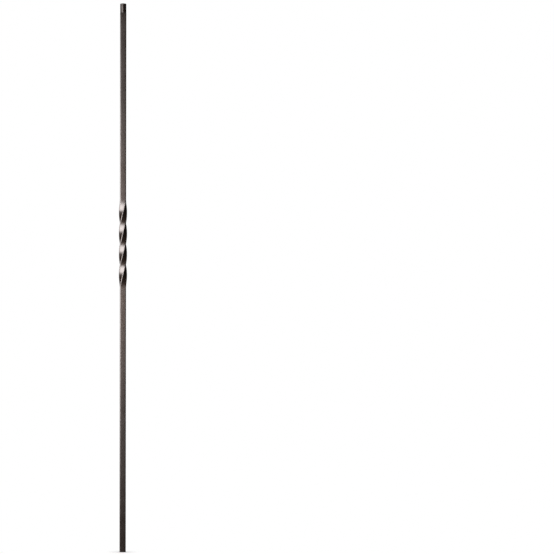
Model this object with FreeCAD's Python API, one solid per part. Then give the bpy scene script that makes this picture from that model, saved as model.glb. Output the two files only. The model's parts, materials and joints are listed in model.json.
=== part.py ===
# Iron stair baluster, forged in one piece from a square bar.
# A plain foot goes into the tread, one full right-handed turn is twisted into the bar
# above the middle, and the upper end is turned down to a round dowel for the handrail.
# The frame stands on the centre of the foot: +Z runs up the bar, X and Y cross its flats.

import FreeCAD, Part
import math
import os

from FreeCAD import Placement, Rotation, Vector

# Driving dimensions, in millimetres
bar_side = 12.7  # across the flats, half-inch square bar
corner_radius = 1.6  # rounding along the four edges of the bar
bar_length = 1117.6  # overall, foot to dowel end, 44 inches

twist_base = 543.0  # foot to the lower end of the twist
twist_length = 169.0  # lower end to upper end of the twist
twist_turns = 1.0  # whole turns in that length, right-handed when positive
twist_ease = 18.0  # run over which the twist starts and dies out, centred on each end

dowel_diameter = 12.4  # round pin that enters the handrail, just inside the flats
dowel_length = 19.05  # pin, from its shoulder to the end of the bar
dowel_chamfer = 1.0  # lead-in on the end of the pin
dowel_crown = 0.6  # rise of the pin's end face towards its centre
shoulder_length = 6.0  # taper from the bar's edges down to the pin
foot_chamfer = 0.4  # edge broken around the sawn foot

# Levels and reaches that follow from the dimensions
twist_angle = 360.0 * twist_turns
twist_low = twist_base - twist_ease / 2
twist_high = twist_base + twist_length + twist_ease / 2
shoulder_top = bar_length - dowel_length
edge_reach = math.sqrt(2) * (bar_side / 2 - corner_radius) + corner_radius

bar_axis = Vector(0, 0, 1)


def about_axis(z, turn):
    """Placement at height z, turned about the bar's axis by so many degrees."""
    return Placement(Vector(0, 0, z), Rotation(bar_axis, turn))


def bar_section(z, turn):
    """Rounded square outline of the bar at height z, as one closed wire."""
    half = bar_side / 2
    flat = half - corner_radius
    bulge = corner_radius * math.sqrt(0.5)
    edges = []
    for quarter in range(4):
        spin = Rotation(bar_axis, 90.0 * quarter)
        flat_start = spin.multVec(Vector(half, -flat, 0))
        flat_end = spin.multVec(Vector(half, flat, 0))
        edge_crown = spin.multVec(Vector(flat + bulge, flat + bulge, 0))
        next_flat = spin.multVec(Vector(flat, half, 0))
        edges.append(Part.makeLine(flat_start, flat_end))
        edges.append(Part.Arc(flat_end, edge_crown, next_flat).toShape())
    outline = Part.Wire(edges)
    outline.Placement = about_axis(z, turn)
    return outline


def turn_at(z):
    """Degrees that the section has turned at height z.

    The rate of turn grows evenly over the lower ease, holds, and falls evenly over the upper one.
    """
    full_rate = twist_angle / twist_length
    risen = z - twist_low
    left = twist_high - z
    if risen < twist_ease:
        return full_rate * risen**2 / (2 * twist_ease)
    if left < twist_ease:
        return twist_angle - full_rate * left**2 / (2 * twist_ease)
    return full_rate * (risen - twist_ease / 2)


def straight_bar(z_low, z_high, turn):
    """Plain stretch of bar between two heights."""
    section = Part.Face(bar_section(z_low, turn))
    return section.extrude(Vector(0, 0, z_high - z_low))


def guide_curve():
    """Smooth curve that climbs beside the axis and turns with the section."""
    steps_per_turn = 64
    steps = math.ceil(steps_per_turn * abs(twist_turns))
    points = []
    for step in range(steps + 1):
        z = twist_low + (twist_high - twist_low) * step / steps
        points.append(about_axis(z, turn_at(z)).multVec(Vector(bar_side, 0, 0)))
    curve = Part.BSplineCurve()
    curve.interpolate(points)
    return Part.Wire(curve.toShape())


def twisted_bar():
    """The twist: the bar's section swept up the axis and turned by the guide curve."""
    axis_line = Part.makeLine(Vector(0, 0, twist_low), Vector(0, 0, twist_high))
    sweep = Part.BRepOffsetAPI.MakePipeShell(Part.Wire(axis_line))
    sweep.setAuxiliarySpine(guide_curve(), False, 0)
    sweep.add(bar_section(twist_low, 0.0), False, False)
    sweep.build()
    sweep.makeSolid()
    return sweep.shape()


def turned_blank():
    """Round form that the lathe gives the upper end: shoulder, pin, lead-in and crowned face.

    Below the shoulder it reaches a whole side out, clear of the bar's edges.
    """
    pin = dowel_diameter / 2
    face = pin - dowel_chamfer
    face_level = bar_length - dowel_crown
    taper = shoulder_length / (edge_reach - pin)
    side_line = Part.makePolygon([
        Vector(0, 0, bar_length),
        Vector(0, 0, twist_high),
        Vector(bar_side, 0, twist_high),
        Vector(bar_side, 0, shoulder_top - taper * (bar_side - pin)),
        Vector(pin, 0, shoulder_top),
        Vector(pin, 0, face_level - dowel_chamfer),
        Vector(face, 0, face_level),
    ])
    crown_radius = (face**2 + dowel_crown**2) / (2 * dowel_crown)
    half_way = math.asin(face / crown_radius) / 2
    crown_middle = Vector(
        crown_radius * math.sin(half_way), 0, bar_length - crown_radius * (1 - math.cos(half_way))
    )
    crown = Part.Arc(Vector(face, 0, face_level), crown_middle, Vector(0, 0, bar_length)).toShape()
    outline = Part.Wire(side_line.Edges + [crown])
    return Part.Face(outline).revolve(Vector(0, 0, 0), bar_axis, 360)


def lower_shank():
    """Straight bar below the twist, with the edge of the foot broken."""
    shank = straight_bar(0.0, twist_low, 0.0)
    foot_edges = [e for e in shank.Edges if e.BoundBox.ZMax < foot_chamfer / 2]
    return shank.makeChamfer(foot_chamfer, foot_edges)


def upper_shank():
    """Straight bar above the twist, turned down to the dowel."""
    return straight_bar(twist_high, bar_length, twist_angle).common(turned_blank())


def baluster():
    """The whole bar as one solid."""
    bar = lower_shank().multiFuse([twisted_bar(), upper_shank()])
    return bar.Solids[0]


part = baluster()
print("valid", part.isValid(), "volume mm3", round(part.Volume, 1), "faces", len(part.Faces))
os.makedirs("parts", exist_ok=True)
part.exportStep("parts/baluster.step")
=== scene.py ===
import json
import math

import bpy
import numpy as np
from mathutils import Euler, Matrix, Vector


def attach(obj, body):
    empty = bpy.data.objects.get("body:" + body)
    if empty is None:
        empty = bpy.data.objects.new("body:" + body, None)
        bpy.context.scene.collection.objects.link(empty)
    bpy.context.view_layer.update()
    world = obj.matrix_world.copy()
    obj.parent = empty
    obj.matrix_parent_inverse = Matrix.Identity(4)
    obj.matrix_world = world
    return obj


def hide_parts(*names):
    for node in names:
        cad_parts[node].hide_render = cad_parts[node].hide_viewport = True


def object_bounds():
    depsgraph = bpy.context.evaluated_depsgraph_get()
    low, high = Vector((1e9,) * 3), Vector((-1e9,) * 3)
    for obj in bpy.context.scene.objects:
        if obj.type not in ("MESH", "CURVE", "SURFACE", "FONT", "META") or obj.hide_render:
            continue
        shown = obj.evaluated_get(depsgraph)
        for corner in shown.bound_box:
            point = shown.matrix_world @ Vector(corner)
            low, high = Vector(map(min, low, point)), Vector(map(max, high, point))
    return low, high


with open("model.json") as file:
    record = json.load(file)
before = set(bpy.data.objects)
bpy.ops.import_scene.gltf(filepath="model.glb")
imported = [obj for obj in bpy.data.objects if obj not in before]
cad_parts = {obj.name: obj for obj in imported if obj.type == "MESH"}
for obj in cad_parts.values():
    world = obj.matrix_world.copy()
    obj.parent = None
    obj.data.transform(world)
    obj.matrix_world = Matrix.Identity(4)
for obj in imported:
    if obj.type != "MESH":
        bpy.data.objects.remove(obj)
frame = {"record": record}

cadLow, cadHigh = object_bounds()
mm = 0.001  # everything below is worked out in millimetres and put into the mesh in metres
print("frame loaded, bar length", round(cadHigh.z / mm, 2), "mm")


def hexToLinear(code):
    # sRGB hex to linear RGBA: the toe is a straight line, the rest a 2.4 power
    srgb = np.array([int(code[i:i + 2], 16) for i in (1, 3, 5)]) / 255
    linear = np.where(srgb <= 0.04045, srgb / 12.92, ((srgb + 0.055) / 1.055) ** 2.4)
    return (*linear.tolist(), 1.0)


def addNode(tree, kind, inputs=None, **settings):
    # inputs: socket name or number -> a value, or another node's output to link
    node = tree.nodes.new(kind)
    for name, value in settings.items():
        setattr(node, name, value)
    for name, value in (inputs or {}).items():
        if isinstance(value, bpy.types.NodeSocket):
            tree.links.new(value, node.inputs[name])
        else:
            node.inputs[name].default_value = value
    return node


# The baluster: one square iron bar, twisted once round, turned to a dowel at the top, sawn at the foot

railDowel = next(m for m in frame["record"]["mounts"] if m["name"] == "rail_dowel")

bar = {
    "side": 12.7,  # across the flats
    "flatSwell": 0.05,  # rolled flats stand this much higher in the middle
    "edgeRadii": (1.70, 1.50, 1.65, 1.55),  # the four rolled edges are never quite alike
    "length": cadHigh.z / mm,
    "footBreak": 0.4,  # saw edge broken with a file
    "twistBase": 543.0,  # foot to the start of the twist
    "twistLength": 169.0,  # one whole turn, right-handed
    "twistEase": 18.0,  # run over which the turning starts, and dies out again
    "pinRadius": railDowel["dims"]["r_mm"],
    "pinLength": 19.05,  # shoulder to the end of the bar
    "shoulder": 6.0,  # the lathe's taper, from the bar's edges in to the pin
    "leadIn": 1.0,  # chamfer round the end of the pin
    "endCrown": 0.6,  # rise of the pin's end face
    "flatSteps": 16,  # columns on each flat, close together near the edges
    "edgeSteps": 8,  # columns on each rounded edge
    "breakSteps": 4,  # rows round the foot's broken edge
    "footRoom": 2.0,  # from that edge up to the first even row
    "plainStep": 6.0,  # row spacing on the straight bar
    "twistStep": 1.0,  # in the twist
    "pinStep": 2.0,  # and on the pin
    "creaseHold": 0.15,  # rows this close to a turned crease keep it crisp
}


def barSection(bar):
    # Rounded square, one quarter at a time and turned by 90 degrees: a flat that swells by the square
    # of the way from its middle, then an arc tangent to it.
    # Gives x, y, outward angle and share of rounded edge, by column.
    half = bar["side"] / 2
    swell = bar["flatSwell"]
    radii = bar["edgeRadii"]
    lean = math.atan(2 * swell / (half - np.mean(radii)))  # slope of a flat at its ends
    t = np.sin(np.linspace(-np.pi / 2, np.pi / 2, bar["flatSteps"] + 1)[:-1])  # -1 to 1 across a flat
    arc = np.linspace(lean, np.pi / 2 - lean, bar["edgeSteps"] + 1)[:-1]
    tangent = math.cos(lean) - math.sin(lean)
    columns = []
    for quarter, radius in enumerate(radii):
        start = half - swell - radii[quarter - 1] * tangent
        stop = half - swell - radius * tangent
        centre = half - swell - radius * math.cos(lean)
        x = np.r_[half - swell * t**2, centre + radius * np.cos(arc)]
        y = np.r_[(stop - start) / 2 + (stop + start) / 2 * t, centre + radius * np.sin(arc)]
        spin = quarter * np.pi / 2
        columns.append(np.stack([
            x * math.cos(spin) - y * math.sin(spin),
            x * math.sin(spin) + y * math.cos(spin),
            np.r_[lean * t, arc] + spin,
            np.r_[0 * t, np.sin(2 * arc)],
        ]))
    return np.concatenate(columns, axis=1)


def turnAt(z, bar):
    # Angle of the section at each height: the rate of turn rises evenly over the lower ease, holds,
    # and falls evenly over the upper one, so the angle is the difference of two eased ramps.
    ease = bar["twistEase"]

    def easedRamp(run):
        run = np.maximum(run, 0)
        return np.where(run < ease, run**2 / (2 * ease), run - ease / 2)

    risen = z - bar["twistBase"] + ease / 2
    return 2 * np.pi / bar["twistLength"] * (easedRamp(risen) - easedRamp(risen - bar["twistLength"]))


def spaced(start, stop, step):
    # even rows from start up to, but not at, stop
    return np.linspace(start, stop, math.ceil((stop - start) / step) + 1)[:-1]


def barSurface(bar):
    # Rows up the bar by columns round it. Each row has a height, an inset from the outline and a scale
    # to the axis; above the shoulder the columns keep their bearing and take the lathe's radius instead.
    # Shares such as faceScale place the rows, which crowd towards the creases.
    x, y, outward, edgeShare = barSection(bar)
    reach, bearing = np.hypot(x, y), np.arctan2(y, x)
    hold = bar["creaseHold"]

    # foot: flat saw cut from the middle out, then a small round over its edge
    foot = bar["footBreak"]
    faceScale = np.array([0.12, 0.3, 0.5, 0.7, 0.85, 0.97, 1.0])
    over = np.linspace(0, np.pi / 2, bar["breakSteps"] + 1)[1:]
    faceRows = len(faceScale)

    # shank, twist and shank
    twistLow = bar["twistBase"] - bar["twistEase"] / 2
    twistHigh = twistLow + bar["twistLength"] + bar["twistEase"]
    shoulderTop = bar["length"] - bar["pinLength"]
    shankTop = shoulderTop - 2 * bar["shoulder"]  # above this, level rows bend to the arches
    shank = np.r_[
        foot + hold,
        spaced(foot + bar["footRoom"], twistLow, bar["plainStep"]),
        spaced(twistLow, twistHigh, bar["twistStep"]),
        spaced(twistHigh, shankTop, bar["plainStep"]),
    ]
    z = np.r_[0 * faceScale, foot * (1 - np.cos(over)), shank]
    inset = np.r_[0 * faceScale + foot, foot * (1 - np.sin(over)), 0 * shank]
    scale = np.r_[faceScale, 0 * over + 1, 0 * shank + 1]
    z, inset, scale = (rows[:, None] for rows in (z, inset, scale))
    straightX = scale * (x - inset * np.cos(outward))
    straightY = scale * (y - inset * np.sin(outward))
    turn = turnAt(z, bar)
    lowerX = straightX * np.cos(turn) - straightY * np.sin(turn)
    lowerY = straightX * np.sin(turn) + straightY * np.cos(turn)
    lowerZ = z + 0 * x

    # shoulder: the taper meets each column at its own height, so every flat ends in an arch
    pin = bar["pinRadius"]
    slope = bar["shoulder"] / (reach.max() - pin)
    crease = shoulderTop - slope * (reach - pin)
    below = np.array([0, 0.35, 0.65, 0.85])[:, None]
    archZ = np.r_[shankTop + (crease - hold - shankTop) * below, [crease - hold]]
    above = np.array([0, 0.25, 0.5, 0.75])[:, None]
    coneZ = np.r_[crease + (shoulderTop - hold - crease) * above, [0 * crease + shoulderTop - hold]]
    coneR = pin + (shoulderTop - coneZ) / slope

    # pin, its lead-in and the crowned end
    endLevel = bar["length"] - bar["endCrown"]
    leadStart = endLevel - bar["leadIn"]
    face = pin - bar["leadIn"]
    pinZ = np.r_[
        shoulderTop,
        shoulderTop + hold,
        spaced(shoulderTop + bar["pinStep"] / 2, leadStart - hold, bar["pinStep"]),
        leadStart - hold,
    ]
    leadShare = np.array([0, 0.15, 0.5, 0.85, 1.0])
    leadZ = leadStart + bar["leadIn"] * leadShare
    crownScale = np.array([0.97, 0.8, 0.6, 0.4, 0.2, 0.08])
    crownRadius = (face**2 + bar["endCrown"]**2) / (2 * bar["endCrown"])
    crownZ = bar["length"] - crownRadius + np.sqrt(crownRadius**2 - (face * crownScale)**2)
    turnedZ = np.r_[pinZ, leadZ, crownZ][:, None] + 0 * x
    turnedR = np.r_[0 * pinZ + pin, pin - (leadZ - leadStart), face * crownScale][:, None] + 0 * x

    lathedZ, lathedR = np.r_[coneZ, turnedZ], np.r_[coneR, turnedR]
    lathedX, lathedY = lathedR * np.cos(bearing), lathedR * np.sin(bearing)
    gridZ = np.r_[lowerZ, archZ, lathedZ]
    surface = np.stack([
        np.r_[lowerX, x + 0 * archZ, lathedX],
        np.r_[lowerY, y + 0 * archZ, lathedY],
        gridZ,
    ], axis=-1)

    # what the coat's patterns follow: the bar before it was twisted, its edges, saw cut and lathe feed
    straight = np.stack([
        np.r_[straightX, x + 0 * archZ, lathedX],
        np.r_[straightY, y + 0 * archZ, lathedY],
        gridZ,
    ], axis=-1)
    plainRows = len(lowerZ) + len(archZ)
    row = np.arange(len(gridZ))[:, None] + 0 * x
    step = np.hypot(np.diff(lathedR, axis=0), np.diff(lathedZ, axis=0))
    feed = np.cumsum(step[::-1], axis=0)[::-1]  # along the turned profile, down from the last ring
    marks = {
        "rolledEdge": np.where(row < plainRows, edgeShare, 0),
        "sawCut": np.where(row < faceRows, 1, 0),
        "turned": np.where(row < plainRows, 0, 1),
        "latheFeed": np.r_[feed[:1] + np.zeros((plainRows, 1)), feed, 0 * feed[:1]],
    }
    return surface, straight, marks


def closedGrid(rows, columns):
    # Quads between neighbouring rows, the last column joined to the first, and a fan to a pole at each
    # end. Pole vertices follow the grid: foot first, then the end of the pin.
    row, column = np.meshgrid(np.arange(rows - 1), np.arange(columns), indexing="ij")
    nextColumn = (column + 1) % columns
    quads = np.stack([
        row * columns + column, row * columns + nextColumn,
        (row + 1) * columns + nextColumn, (row + 1) * columns + column,
    ], axis=-1).reshape(-1, 4)
    ring = np.arange(columns)
    nextRing = (ring + 1) % columns
    last = (rows - 1) * columns
    footFan = np.stack([0 * ring + rows * columns, nextRing, ring], axis=-1)
    endFan = np.stack([0 * ring + rows * columns + 1, last + ring, last + nextRing], axis=-1)
    return quads.tolist() + footFan.tolist() + endFan.tolist()


skin = {
    "strips": 5,  # so many side by side make about a square
    "gap": 2.0,  # mm between strips
}


def skinMap(surface, poles, skin):
    # The skin laid flat, for baking: distance round the bar by distance up it, both in millimetres, cut
    # into strips and scaled to a unit square. Gives u, v by face corner, in the order of closedGrid.
    ends = poles[:, None] + 0 * surface[0]
    climb = np.linalg.norm(np.diff(np.r_[ends[:1], surface, ends[1:]], axis=0), axis=-1)
    up = np.r_[0, np.cumsum(climb.mean(axis=1))]
    breadth = np.linalg.norm(np.roll(surface, -1, axis=1) - surface, axis=-1)
    around = np.r_[0, np.cumsum(np.median(breadth, axis=0))]
    run = up[-1] / skin["strips"]
    strip = up[:-1] // run
    aside = strip * (around[-1] + skin["gap"])
    low, high = up[:-1] - strip * run, up[1:] - strip * run
    first, second = around[:-1], around[1:]
    middle = (first + second) / 2

    def corners(band, across, upwards):
        u = aside[band, None, None] + np.stack(across, axis=-1)
        v = np.stack(upwards, axis=-1)[band][:, None] + 0 * u
        return np.stack([u, v], axis=-1).reshape(-1, 2)

    flat = np.r_[
        corners(slice(1, -1), (first, second, second, first), (low, low, high, high)),
        corners(slice(0, 1), (middle, second, first), (low, high, high)),
        corners(slice(-1, None), (middle, first, second), (high, low, low)),
    ]
    return (flat + skin["gap"] / 2) / (flat.max() + skin["gap"])


def makeBar(bar, skin):
    surface, straight, marks = barSurface(bar)
    rows, columns = surface.shape[:2]
    poles = np.array([[0, 0, 0], [0, 0, bar["length"]]])
    mesh = bpy.data.meshes.new("twistedBar")
    mesh.from_pydata(np.r_[surface.reshape(-1, 3), poles] * mm, [], closedGrid(rows, columns))
    mesh.shade_smooth()
    laidFlat = mesh.uv_layers.new(name="OFBake", do_init=False)  # the skin laid flat, a map to bake through
    laidFlat.uv.foreach_set("vector", skinMap(surface, poles, skin).ravel())
    straightPoint = mesh.attributes.new("straightBar", "FLOAT_VECTOR", "POINT")
    straightPoint.data.foreach_set("vector", (np.r_[straight.reshape(-1, 3), poles] * mm).ravel())
    for name, values in marks.items():
        mark = mesh.attributes.new(name, "FLOAT", "POINT")
        mark.data.foreach_set("value", np.r_[values.ravel(), values[0, 0], values[-1, 0]])
    mesh.update()
    obj = bpy.data.objects.new("twistedBar", mesh)
    bpy.context.scene.collection.objects.link(obj)
    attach(obj, "root")
    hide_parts("baluster")
    print("bar:", rows, "rows of", columns, "columns,", len(mesh.polygons), "faces")
    return obj


# Powder coat: pigmented polyester resin, sprayed on dry and baked until it flows. It gives a deep black
# with a satin sheen, a faint orange peel, and a film that draws thin and a little glossier over the edges.

coat = {
    "resin": "#0b0603",  # where the film is thick
    "thinResin": "#0f0805",  # where it is thin
    "ior": 1.5,  # polyester
    "roughness": (0.28, 0.34),  # satin, over the cloudy patches
    "cloudSpan": (0.3, 0.7),  # where most of the cloud noise lies
    "edgeGloss": 0.03,  # less roughness on the edges
    "edgeThinning": 0.5,  # how far an edge counts as thin film
    "cloud": 45.0,  # mm, patches of thicker and thinner film
    "peel": 2.4,  # mm, orange peel
    "peelHeight": 0.03,  # mm
    "grain": 0.5,  # mm, powder grain; real grain is near 0.1, drawn coarser so that it shows
    "grainHeight": 0.014,  # mm
    "rollLine": (0.7, 60.0),  # mm across and along: mill lines under the coat, from before the twist
    "rollHeight": 0.004,  # mm
    "feedPitch": 0.8,  # mm, tool rings on the dowel; real feed is near 0.2, drawn coarser so that it shows
    "feedHeight": 0.002,  # mm
    "sawPitch": 0.9,  # mm, saw lines across the foot
    "sawWander": 1.5,  # how far they stray from straight
    "sawHeight": 0.02,  # mm
}


def powderCoat(coat):
    material = bpy.data.materials.new("satinBlackPowderCoat")
    material.use_nodes = True
    tree = material.node_tree
    tree.nodes.clear()
    place = addNode(tree, "ShaderNodeTexCoord").outputs["Object"]
    straight = addNode(tree, "ShaderNodeAttribute", attribute_name="straightBar").outputs["Vector"]
    edge, saw, turned, feed = (
        addNode(tree, "ShaderNodeAttribute", attribute_name=name).outputs["Fac"]
        for name in ("rolledEdge", "sawCut", "turned", "latheFeed")
    )

    # film thickness: cloudy patches, and thin over the edges
    cloud = addNode(tree, "ShaderNodeTexNoise", {
        "Vector": place, "Scale": 1 / (coat["cloud"] * mm), "Detail": 3.0,
    }).outputs["Fac"]
    thin = addNode(tree, "ShaderNodeMath", {
        0: edge, 1: coat["edgeThinning"], 2: cloud,
    }, operation="MULTIPLY_ADD", use_clamp=True).outputs[0]
    colour = addNode(tree, "ShaderNodeMix", {
        0: thin, 6: hexToLinear(coat["resin"]), 7: hexToLinear(coat["thinResin"]),
    }, data_type="RGBA").outputs[2]
    glossy, dull = coat["roughness"]
    low, high = coat["cloudSpan"]
    patchy = addNode(tree, "ShaderNodeMapRange", {
        "Value": cloud, "From Min": low, "From Max": high, "To Min": glossy, "To Max": dull,
    }).outputs[0]
    roughness = addNode(tree, "ShaderNodeMath", {
        0: edge, 1: -coat["edgeGloss"], 2: patchy,
    }, operation="MULTIPLY_ADD").outputs[0]

    # heights: mill lines on the bar, rings on the dowel, saw lines on the foot, then the resin's own peel
    across, along = coat["rollLine"]
    stretched = addNode(tree, "ShaderNodeMapping", {
        "Vector": straight, "Scale": (1 / (across * mm), 1 / (across * mm), 1 / (along * mm)),
    }).outputs[0]
    lines = addNode(tree, "ShaderNodeTexNoise", {
        "Vector": stretched, "Scale": 1.0, "Detail": 2.0,
    }).outputs["Fac"]
    rings = addNode(tree, "ShaderNodeMath", {
        0: feed, 1: 2 * math.pi / coat["feedPitch"],
    }, operation="MULTIPLY").outputs[0]
    rings = addNode(tree, "ShaderNodeMath", {0: rings}, operation="SINE").outputs[0]
    rings = addNode(tree, "ShaderNodeMath", {0: rings, 1: turned}, operation="MULTIPLY").outputs[0]
    sawBands = addNode(tree, "ShaderNodeTexWave", {
        "Vector": place,
        "Scale": math.pi / 10 / (coat["sawPitch"] * mm),  # a wave is a tenth of pi long at scale 1
        "Distortion": coat["sawWander"],
    }, bands_direction="X").outputs["Fac"]
    sawBands = addNode(tree, "ShaderNodeMath", {0: sawBands, 1: saw}, operation="MULTIPLY").outputs[0]
    peel = addNode(tree, "ShaderNodeTexNoise", {
        "Vector": place, "Scale": 1 / (coat["peel"] * mm), "Detail": 1.0,
    }).outputs["Fac"]
    grain = addNode(tree, "ShaderNodeTexNoise", {
        "Vector": place, "Scale": 1 / (coat["grain"] * mm), "Detail": 2.0,
    }).outputs["Fac"]
    relief = (
        (lines, coat["rollHeight"]),
        (rings, coat["feedHeight"]),
        (sawBands, coat["sawHeight"]),
        (peel, coat["peelHeight"]),
        (grain, coat["grainHeight"]),
    )
    normal = None
    for height, size in relief:
        links = {"Height": height, "Distance": size * mm}
        if normal:
            links["Normal"] = normal
        normal = addNode(tree, "ShaderNodeBump", links).outputs[0]

    shader = addNode(tree, "ShaderNodeBsdfPrincipled", {
        "Base Color": colour, "Roughness": roughness, "IOR": coat["ior"], "Normal": normal,
    })
    addNode(tree, "ShaderNodeOutputMaterial", {"Surface": shader.outputs[0]})
    return material


twistedBar = makeBar(bar, skin)
twistedBar.data.materials.append(powderCoat(coat))
print("bar coated")


# Floor: a plain white sheet under the foot that glows evenly, with a shade round the foot painted into its
# glow, and thins out to the room at its rim

floor = {
    "radius": 2600.0,  # mm
    "whiteTo": 900.0,  # mm from the foot, where the rim starts to thin out
    "paintedShadeReach": 30.0,  # mm, reach of the painted shade round the foot
    "paintedShadeSamples": 4,
    "rings": 12,
    "spokes": 96,
    "paint": "#ffffff",
}


def makeFloor(floor):
    # Disc: radius by bearing, with a pole in the middle; rings grow by the square of their number.
    rings, spokes = floor["rings"], floor["spokes"]
    radius = floor["radius"] * (np.arange(1, rings + 1) / rings)[:, None] ** 2
    bearing = np.arange(spokes) / spokes * 2 * np.pi
    disc = np.stack([radius * np.cos(bearing), radius * np.sin(bearing), 0 * radius * bearing], axis=-1)
    points = np.r_[disc.reshape(-1, 3), [[0, 0, 0]]]
    ring, spoke = np.meshgrid(np.arange(rings - 1), np.arange(spokes), indexing="ij")
    corner = ring * spokes + spoke
    nextCorner = ring * spokes + (spoke + 1) % spokes
    quads = np.stack([corner, corner + spokes, nextCorner + spokes, nextCorner], axis=-1).reshape(-1, 4)
    first = np.arange(spokes)
    fan = np.stack([0 * first + len(points) - 1, first, (first + 1) % spokes], axis=-1)
    mesh = bpy.data.meshes.new("studioFloor")
    mesh.from_pydata(points * mm, [], quads.tolist() + fan.tolist())
    obj = bpy.data.objects.new("studioFloor", mesh)
    bpy.context.scene.collection.objects.link(obj)
    material = bpy.data.materials.new("litSheet")
    material.use_nodes = True
    tree = material.node_tree
    tree.nodes.clear()
    place = addNode(tree, "ShaderNodeTexCoord").outputs["Object"]
    fromFoot = addNode(tree, "ShaderNodeVectorMath", {0: place}, operation="LENGTH").outputs["Value"]
    thin = addNode(tree, "ShaderNodeMapRange", {
        "Value": fromFoot, "From Min": floor["whiteTo"] * mm, "From Max": floor["radius"] * mm,
    }, interpolation_type="SMOOTHSTEP").outputs[0]
    # painted shade: the sheet's glow is darkened by ambient occlusion where the bar hems it in, near the
    # foot
    paintedShade = addNode(tree, "ShaderNodeAmbientOcclusion", {
        "Color": hexToLinear(floor["paint"]), "Distance": floor["paintedShadeReach"] * mm,
    }, samples=floor["paintedShadeSamples"]).outputs["Color"]
    glow = addNode(tree, "ShaderNodeEmission", {"Color": paintedShade})
    clear = addNode(tree, "ShaderNodeBsdfTransparent")
    sheet = addNode(tree, "ShaderNodeMixShader", {0: thin, 1: glow.outputs[0], 2: clear.outputs[0]})
    addNode(tree, "ShaderNodeOutputMaterial", {"Surface": sheet.outputs[0]})
    mesh.materials.append(material)
    obj.visible_diffuse = obj.visible_glossy = obj.visible_shadow = False  # panels and room light the bar


makeFloor(floor)
print("floor laid")


# Light: a large softbox close by at the front left, a small warm panel in front, a dim one behind

softboxes = {
    # bearing is round the bar in degrees, 0 at the camera and positive to its left; sizes in mm
    # fade is the share of the panel, in from each edge, over which its light comes up
    "keySoftbox": {
        "bearing": 43, "distance": 940, "level": 644, "width": 1520, "height": 1270,
        "fade": 0.32, "radiance": 23.0, "tint": "#fff5f2",
    },
    "warmPanel": {
        "bearing": 0, "distance": 800, "level": 590, "width": 220, "height": 640,
        "fade": 0.5, "radiance": 4.6, "tint": "#ffd2b8",
    },
    "backPanel": {
        "bearing": 180, "distance": 2000, "level": 600, "width": 900, "height": 1600,
        "fade": 0.2, "radiance": 2.0, "tint": "#ffffff",
    },
}


def hangSoftbox(name, box):
    # Upright panel that faces the bar's axis; its light is the product of two smooth rises from the edges.
    bearing = math.radians(box["bearing"])
    outwards = Vector((-math.sin(bearing), -math.cos(bearing), 0))
    lamp = bpy.data.lights.new(name, "AREA")
    lamp.shape = "RECTANGLE"
    lamp.size, lamp.size_y = box["width"] * mm, box["height"] * mm
    lamp.energy = box["radiance"] * math.pi * lamp.size * lamp.size_y  # an even panel gives pi times that
    lamp.color = hexToLinear(box["tint"])[:3]
    lamp.use_nodes = True
    tree = lamp.node_tree
    tree.nodes.clear()
    place = addNode(tree, "ShaderNodeNewGeometry").outputs["Parametric"]  # 0 to 1 across and up the panel
    strength = 1.0
    # ping-pong at one half gives the distance from the nearer edge
    for side in addNode(tree, "ShaderNodeSeparateXYZ", {0: place}).outputs[:2]:
        fromEdge = addNode(tree, "ShaderNodeMath", {0: side, 1: 0.5}, operation="PINGPONG").outputs[0]
        rise = addNode(tree, "ShaderNodeMapRange", {
            "Value": fromEdge, "From Max": box["fade"],
        }, interpolation_type="SMOOTHSTEP").outputs[0]
        strength = addNode(tree, "ShaderNodeMath", {0: rise, 1: strength}, operation="MULTIPLY").outputs[0]
    glow = addNode(tree, "ShaderNodeEmission", {"Strength": strength})
    addNode(tree, "ShaderNodeOutputLight", {"Surface": glow.outputs[0]})
    obj = bpy.data.objects.new(name, lamp)
    obj.location = outwards * box["distance"] * mm + Vector((0, 0, box["level"] * mm))
    obj.rotation_euler = (-outwards).to_track_quat("-Z", "Y").to_euler()
    obj.visible_camera = False
    bpy.context.scene.collection.objects.link(obj)


for name, box in softboxes.items():
    hangSoftbox(name, box)
print("lights hung:", ", ".join(softboxes))


# Room: white paper behind the bar and grey walls to the sides for the camera; the bar itself mirrors a
# dark room with pale ground and ceiling

room = {
    "paper": 1.0,  # brightness, as are wall, shade, ground and ceiling
    "wall": 0.48,
    "paperEdge": (0.80, 0.95),  # how straight back a sight line runs, from wall to paper
    "shade": 0.015,
    "ground": 0.6,
    "groundEdge": (-0.20, -0.47),  # how steeply a mirrored line runs down, from shade to ground
    "ceiling": 1.5,
    "ceilingEdge": (0.50, 0.75),  # how steeply it runs up, from shade to ceiling
}


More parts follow.
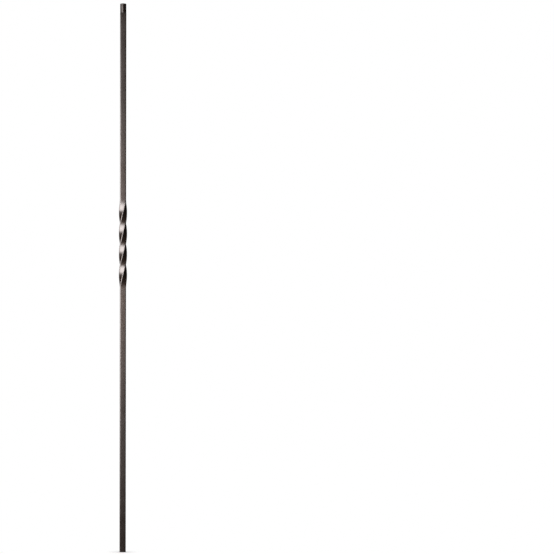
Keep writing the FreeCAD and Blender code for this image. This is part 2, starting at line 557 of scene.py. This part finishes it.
def makeRoom(room):
    world = bpy.data.worlds.new("studioRoom")
    world.use_nodes = True
    tree = world.node_tree
    tree.nodes.clear()
    heading = addNode(tree, "ShaderNodeTexCoord").outputs["Generated"]
    run = addNode(tree, "ShaderNodeSeparateXYZ", {0: heading}).outputs
    levels = []
    for share, edge, low, high in (
        ("Z", "groundEdge", "shade", "ground"),
        ("Z", "ceilingEdge", "shade", "ceiling"),
        ("Y", "paperEdge", "wall", "paper"),
    ):
        levels.append(addNode(tree, "ShaderNodeMapRange", {
            "Value": run[share], "From Min": room[edge][0], "From Max": room[edge][1],
            "To Min": room[low], "To Max": room[high],
        }, interpolation_type="SMOOTHSTEP").outputs[0])
    ground, ceiling, paper = levels
    mirrored = addNode(tree, "ShaderNodeMath", {0: ground, 1: ceiling}, operation="MAXIMUM").outputs[0]
    seen = addNode(tree, "ShaderNodeLightPath").outputs["Is Camera Ray"]
    strength = addNode(tree, "ShaderNodeMix", {0: seen, 2: mirrored, 3: paper}).outputs[0]
    backdrop = addNode(tree, "ShaderNodeBackground", {"Color": (1, 1, 1, 1), "Strength": strength})
    addNode(tree, "ShaderNodeOutputWorld", {"Surface": backdrop.outputs[0]})
    return world


bpy.context.scene.world = makeRoom(room)
bpy.context.scene.view_settings.view_transform = "Standard"
print("room built")


# Camera: level with the middle of the bar and square to its front flat, aimed a little to the right of it

camera = {
    "lens": 200.0,  # mm, far back so that the bar keeps its width from end to end
    "sensor": 36.0,
    "framePixels": 554,
    "barTop": 3.55,  # pixels from the top of the frame
    "barFoot": 552.15,
    "barAcross": 122.95,  # pixels from the left
    "roll": 0.07,  # degrees, the top leaning to the right
}


def aimCamera(camera, barLength):
    # The pixel's size at the bar gives the distance; turning the camera puts the bar at its own column.
    pixel = barLength / (camera["barFoot"] - camera["barTop"])  # mm at the bar
    depth = camera["framePixels"] * pixel * camera["lens"] / camera["sensor"]
    offset = (camera["framePixels"] / 2 - camera["barAcross"]) * pixel
    level = (camera["barFoot"] - camera["framePixels"] / 2) * pixel
    yaw = math.atan(offset / depth)
    data = bpy.data.cameras.new("camera")
    data.lens, data.sensor_width = camera["lens"], camera["sensor"]
    obj = bpy.data.objects.new("camera", data)
    obj.location = (0, -math.hypot(depth, offset) * mm, level * mm)
    obj.rotation_mode = "QUATERNION"
    aim = Euler((math.pi / 2, 0, -yaw)).to_quaternion()
    obj.rotation_quaternion = aim @ Euler((0, 0, math.radians(camera["roll"]))).to_quaternion()
    bpy.context.scene.collection.objects.link(obj)
    bpy.context.scene.camera = obj
    print("camera", round(depth), "mm back, one pixel is", round(pixel, 4), "mm")


aimCamera(camera, bar["length"])
